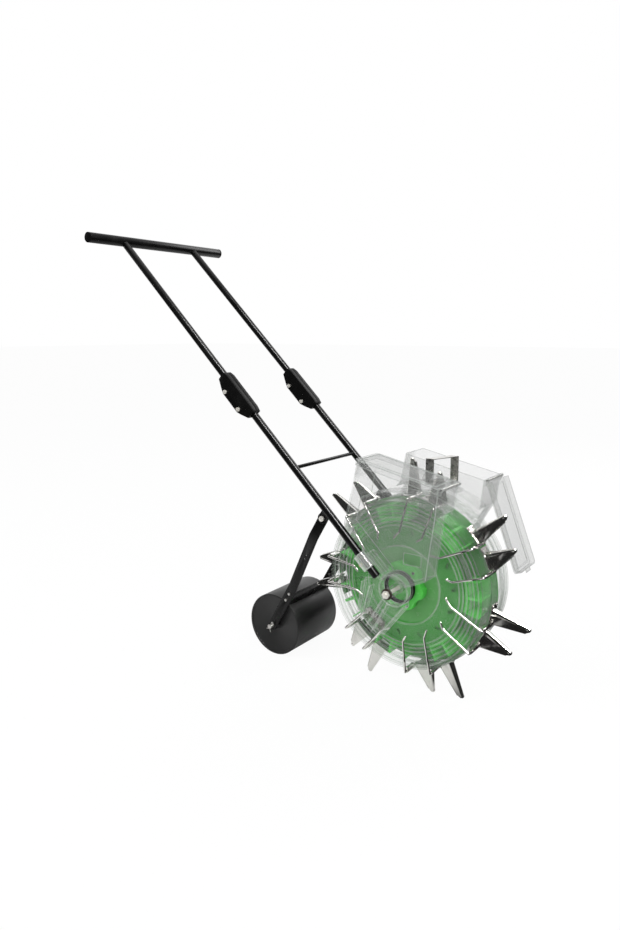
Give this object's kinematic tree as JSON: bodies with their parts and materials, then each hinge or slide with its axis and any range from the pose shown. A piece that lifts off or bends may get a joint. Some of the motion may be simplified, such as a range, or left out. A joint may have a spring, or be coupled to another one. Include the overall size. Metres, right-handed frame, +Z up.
{
  "type": "walk-behind seed planter",
  "caption": "Hand-pushed planter: clear drum wheel with steel beaks that open by levers, two side hoppers with lids, tube handle and press roller.",
  "frame": {"origin": "on the ground, under the middle of the whole machine", "axes": "+X forward, from the handle to the front of the wheel; +Y to the side away from the camera, along the wheel's axle; +Z up"},
  "size_m": [1.1834, 0.498, 1.1191],
  "materials": {
    "black_paint": "gloss black powder coat",
    "black_plastic": "moulded, fine grain",
    "roller_paint": "satin black, lightly scuffed",
    "clear_plastic": "clear moulded plastic",
    "green_plastic": "translucent green moulding",
    "bright_steel": "polished stainless sheet",
    "plain_steel": "zinc plated",
    "gold_steel": "yellow passivated",
    "rubber": "dark rubber"
  },
  "bodies": {
    "frame": {"handle_bar": "black_paint", "bar_end_caps": "black_plastic", "near_upper_tube": "black_paint", "far_upper_tube": "black_paint", "near_lower_tube": "black_paint", "far_lower_tube": "black_paint", "joiner_outer_halves": "black_plastic", "joiner_inner_halves": "black_plastic", "joiner_screws": "plain_steel", "cross_bar": "black_paint", "wheel_axle": "plain_steel", "axle_nuts": "plain_steel", "rubber_washers": "rubber", "near_bracket": "clear_plastic", "far_bracket": "clear_plastic", "trip_cams": "plain_steel", "hub_rings": "rubber", "socket_screws": "gold_steel", "near_hopper": "clear_plastic", "far_hopper": "clear_plastic", "hopper_strap": "bright_steel", "hopper_screws": "plain_steel", "lid_pins": "plain_steel", "arm_pivot_bolts": "plain_steel"},
    "wheel": {"near_drum_shell": "clear_plastic", "far_drum_shell": "clear_plastic", "partition_disc": "green_plastic", "metering_discs": "green_plastic", "pickup_blocks": "green_plastic", "hub_flanges": "green_plastic", "flange_screws": "plain_steel", "hub_sleeve": "green_plastic", "seed_beaks": "bright_steel", "fertiliser_beaks": "bright_steel", "beak_screws": "plain_steel", "lever_sleeves": "bright_steel", "jaw_springs": "bright_steel"},
    "seed_jaw_1": {"seed_jaw_1": "bright_steel"},
    "seed_jaw_2": {"seed_jaw_2": "bright_steel"},
    "seed_jaw_3": {"seed_jaw_3": "bright_steel"},
    "seed_jaw_4": {"seed_jaw_4": "bright_steel"},
    "seed_jaw_5": {"seed_jaw_5": "bright_steel"},
    "seed_jaw_6": {"seed_jaw_6": "bright_steel"},
    "seed_jaw_7": {"seed_jaw_7": "bright_steel"},
    "fertiliser_jaw_1": {"fertiliser_jaw_1": "bright_steel"},
    "fertiliser_jaw_2": {"fertiliser_jaw_2": "bright_steel"},
    "fertiliser_jaw_3": {"fertiliser_jaw_3": "bright_steel"},
    "fertiliser_jaw_4": {"fertiliser_jaw_4": "bright_steel"},
    "fertiliser_jaw_5": {"fertiliser_jaw_5": "bright_steel"},
    "fertiliser_jaw_6": {"fertiliser_jaw_6": "bright_steel"},
    "fertiliser_jaw_7": {"fertiliser_jaw_7": "bright_steel"},
    "near_lid": {"near_lid": "clear_plastic"},
    "far_lid": {"far_lid": "clear_plastic"},
    "roller_arms": {"near_roller_arm": "black_paint", "far_roller_arm": "black_paint", "scraper_blade": "black_paint", "scraper_screws": "plain_steel", "roller_axle": "plain_steel", "split_pins": "plain_steel"},
    "roller": {"roller_drum": "roller_paint"}
  },
  "joints": [
    {"name": "wheel_spin", "type": "hinge", "parent": "frame", "child": "wheel", "pos_m": [0.30293, 0, 0.26944], "axis": [0, 1, 0], "continuous": true},
    {"name": "seed_jaw_1_swing", "type": "hinge", "parent": "wheel", "child": "seed_jaw_1", "pos_m": [0.20067, -0.018, 0.08716], "axis": [0, 1, 0], "range_deg": [0, 15], "stiffness_Nm_per_rad": 0.6, "springref_deg": -14.32},
    {"name": "seed_jaw_2_swing", "type": "hinge", "parent": "wheel", "child": "seed_jaw_2", "pos_m": [0.38168, -0.018, 0.07584], "axis": [0, 1, 0], "range_deg": [0, 15], "stiffness_Nm_per_rad": 0.6, "springref_deg": -14.32},
    {"name": "seed_jaw_3_swing", "type": "hinge", "parent": "wheel", "child": "seed_jaw_3", "pos_m": [0.50339, -0.018, 0.2103], "axis": [0, 1, 0], "range_deg": [0, 15], "stiffness_Nm_per_rad": 0.6, "springref_deg": -14.32},
    {"name": "seed_jaw_4_swing", "type": "hinge", "parent": "wheel", "child": "seed_jaw_4", "pos_m": [0.47414, -0.018, 0.38929], "axis": [0, 1, 0], "range_deg": [0, 15], "stiffness_Nm_per_rad": 0.6, "springref_deg": -14.32},
    {"name": "seed_jaw_5_swing", "type": "hinge", "parent": "wheel", "child": "seed_jaw_5", "pos_m": [0.31597, -0.018, 0.47803], "axis": [0, 1, 0], "range_deg": [0, 15], "stiffness_Nm_per_rad": 0.6, "springref_deg": -14.32},
    {"name": "seed_jaw_6_swing", "type": "hinge", "parent": "wheel", "child": "seed_jaw_6", "pos_m": [0.14798, -0.018, 0.40969], "axis": [0, 1, 0], "range_deg": [0, 15], "stiffness_Nm_per_rad": 0.6, "springref_deg": -14.32},
    {"name": "seed_jaw_7_swing", "type": "hinge", "parent": "wheel", "child": "seed_jaw_7", "pos_m": [0.09666, -0.018, 0.23574], "axis": [0, 1, 0], "range_deg": [0, 15], "stiffness_Nm_per_rad": 0.6, "springref_deg": -14.32},
    {"name": "fertiliser_jaw_1_swing", "type": "hinge", "parent": "wheel", "child": "fertiliser_jaw_1", "pos_m": [0.14935, -0.018, 0.12768], "axis": [0, 1, 0], "range_deg": [0, 15], "stiffness_Nm_per_rad": 0.6, "springref_deg": -14.32},
    {"name": "fertiliser_jaw_2_swing", "type": "hinge", "parent": "wheel", "child": "fertiliser_jaw_2", "pos_m": [0.318, -0.018, 0.06098], "axis": [0, 1, 0], "range_deg": [0, 15], "stiffness_Nm_per_rad": 0.6, "springref_deg": -14.32},
    {"name": "fertiliser_jaw_3_swing", "type": "hinge", "parent": "wheel", "child": "fertiliser_jaw_3", "pos_m": [0.4753, -0.018, 0.15125], "axis": [0, 1, 0], "range_deg": [0, 15], "stiffness_Nm_per_rad": 0.6, "springref_deg": -14.32},
    {"name": "fertiliser_jaw_4_swing", "type": "hinge", "parent": "wheel", "child": "fertiliser_jaw_4", "pos_m": [0.5028, -0.018, 0.33052], "axis": [0, 1, 0], "range_deg": [0, 15], "stiffness_Nm_per_rad": 0.6, "springref_deg": -14.32},
    {"name": "fertiliser_jaw_5_swing", "type": "hinge", "parent": "wheel", "child": "fertiliser_jaw_5", "pos_m": [0.37979, -0.018, 0.46379], "axis": [0, 1, 0], "range_deg": [0, 15], "stiffness_Nm_per_rad": 0.6, "springref_deg": -14.32},
    {"name": "fertiliser_jaw_6_swing", "type": "hinge", "parent": "wheel", "child": "fertiliser_jaw_6", "pos_m": [0.1989, -0.018, 0.45071], "axis": [0, 1, 0], "range_deg": [0, 15], "stiffness_Nm_per_rad": 0.6, "springref_deg": -14.32},
    {"name": "fertiliser_jaw_7_swing", "type": "hinge", "parent": "wheel", "child": "fertiliser_jaw_7", "pos_m": [0.09634, -0.018, 0.30113], "axis": [0, 1, 0], "range_deg": [0, 15], "stiffness_Nm_per_rad": 0.6, "springref_deg": -14.32},
    {"name": "near_lid_swing", "type": "hinge", "parent": "frame", "child": "near_lid", "pos_m": [0.42593, -0.0875, 0.52293], "axis": [0, 1, 0], "range_deg": [0, 225]},
    {"name": "far_lid_swing", "type": "hinge", "parent": "frame", "child": "far_lid", "pos_m": [0.45393, 0.0875, 0.51723], "axis": [0, 1, 0], "range_deg": [-238, 0]},
    {"name": "roller_arm_swing", "type": "hinge", "parent": "frame", "child": "roller_arms", "pos_m": [0.11667, 0, 0.4131], "axis": [0, 1, 0], "range_deg": [-3, 0]},
    {"name": "roller_spin", "type": "hinge", "parent": "roller_arms", "child": "roller", "pos_m": [-0.07507, 0, 0.082], "axis": [0, 1, 0], "continuous": true}
  ]
}
